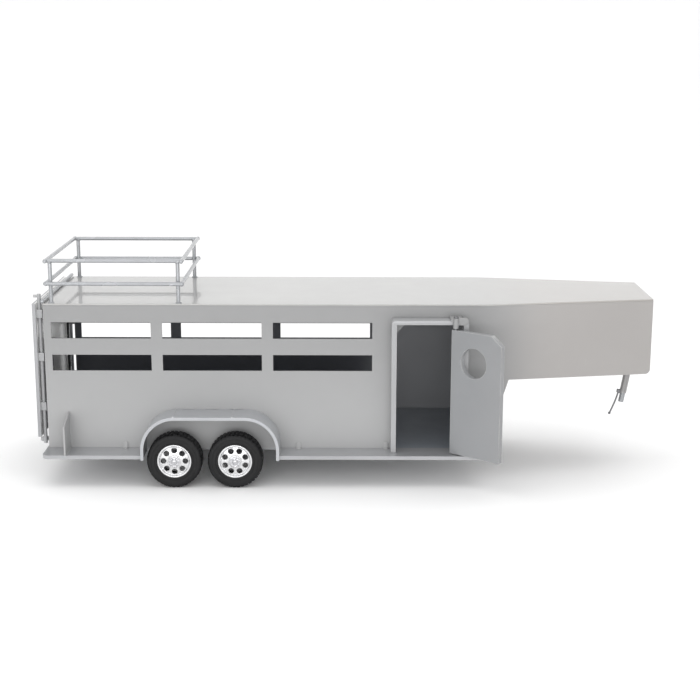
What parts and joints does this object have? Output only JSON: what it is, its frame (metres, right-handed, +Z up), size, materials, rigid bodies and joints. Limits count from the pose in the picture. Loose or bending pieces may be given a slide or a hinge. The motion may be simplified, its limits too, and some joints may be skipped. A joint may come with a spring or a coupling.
{
  "type": "livestock trailer",
  "caption": "Scale-model gooseneck livestock trailer with slotted sides, hinged side door with a round window, rear gate, roof rack and tandem wheels.",
  "frame": {"origin": "on the ground under the middle of the trailer's bounding box, with the side door open as it stands at rest", "axes": "+X from the rear gate to the nose and hitch, +Y to the left side of a trailer that travels towards +X (the side door is on -Y), +Z up"},
  "size_m": [0.5092, 0.2004, 0.1848],
  "materials": {
    "body_paint": "satin silver-grey paint over pressed steel",
    "roof_paint": "glossier silver-grey paint",
    "floor_paint": "satin silver-grey paint with scuffs",
    "rod_steel": "silver-painted steel rod",
    "dark_steel": "dull steel",
    "tyre_rubber": "matt black rubber",
    "rim_chrome": "bright plated",
    "hub_chrome": "bright plated"
  },
  "bodies": {
    "root": {"floor_plate": "floor_paint", "right_side_panel": "body_paint", "left_side_panel": "body_paint", "roof_panel": "roof_paint", "nose_front_plate": "body_paint", "nose_floor": "body_paint", "riser_panel": "body_paint", "right_fender": "body_paint", "left_fender": "body_paint", "door_frame": "body_paint", "door_hinge_bracket": "body_paint", "board_gussets": "body_paint", "panel_tabs": "body_paint", "rack_posts": "rod_steel", "rack_side_rails": "rod_steel", "rack_cross_rails": "rod_steel", "roof_rear_tube": "rod_steel", "axle_hangers": "dark_steel", "rear_axle": "dark_steel", "front_axle": "dark_steel", "axle_bushes": "dark_steel", "axle_retainers": "dark_steel", "hitch_tube": "body_paint", "hitch_socket": "rod_steel", "hitch_ears": "dark_steel", "gate_knuckle_straps": "body_paint", "latch_keeper": "body_paint"},
    "wheel_rear_right": {"tyre_rear_right": "tyre_rubber", "rim_rear_right": "rim_chrome", "hub_cap_rear_right": "hub_chrome"},
    "wheel_rear_left": {"tyre_rear_left": "tyre_rubber", "rim_rear_left": "rim_chrome", "hub_cap_rear_left": "hub_chrome"},
    "wheel_front_right": {"tyre_front_right": "tyre_rubber", "rim_front_right": "rim_chrome", "hub_cap_front_right": "hub_chrome"},
    "wheel_front_left": {"tyre_front_left": "tyre_rubber", "rim_front_left": "rim_chrome", "hub_cap_front_left": "hub_chrome"},
    "side_door": {"door_inner_skin": "body_paint", "door_outer_skin": "body_paint", "window_ring": "body_paint", "door_pins": "dark_steel"},
    "rear_gate": {"gate_frame": "body_paint", "gate_sheet": "body_paint", "gate_hinge_rod": "rod_steel", "latch_guides": "body_paint"},
    "gate_latch": {"latch_rod": "rod_steel"},
    "latch_wire": {"hitch_wire": "dark_steel"}
  },
  "joints": [
    {"name": "wheel_rear_right_spin", "type": "hinge", "parent": "root", "child": "wheel_rear_right", "pos_m": [-0.13945, -0.07006, 0.0225], "axis": [0, 1, 0], "continuous": true},
    {"name": "wheel_rear_left_spin", "type": "hinge", "parent": "root", "child": "wheel_rear_left", "pos_m": [-0.13945, 0.09044, 0.0225], "axis": [0, 1, 0], "continuous": true},
    {"name": "wheel_front_right_spin", "type": "hinge", "parent": "root", "child": "wheel_front_right", "pos_m": [-0.08995, -0.07006, 0.0225], "axis": [0, 1, 0], "continuous": true},
    {"name": "wheel_front_left_spin", "type": "hinge", "parent": "root", "child": "wheel_front_left", "pos_m": [-0.08995, 0.09044, 0.0225], "axis": [0, 1, 0], "continuous": true},
    {"name": "side_door_hinge", "type": "hinge", "parent": "root", "child": "side_door", "pos_m": [0.08825, -0.06911, 0.08], "axis": [0, 0, 1], "range_deg": [-140, 35]},
    {"name": "rear_gate_hinge", "type": "hinge", "parent": "root", "child": "rear_gate", "pos_m": [-0.24995, 0.07569, 0.092], "axis": [0, 0, 1], "range_deg": [-180, 0]},
    {"name": "gate_latch_turn", "type": "hinge", "parent": "rear_gate", "child": "gate_latch", "pos_m": [-0.24955, -0.04831, 0.092], "axis": [0, 0, 1], "range_deg": [-90, 0]},
    {"name": "latch_wire_pivot", "type": "hinge", "parent": "root", "child": "latch_wire", "pos_m": [0.2369, 0.01019, 0.0597], "axis": [0, 1, 0], "range_deg": [0, 60]}
  ]
}
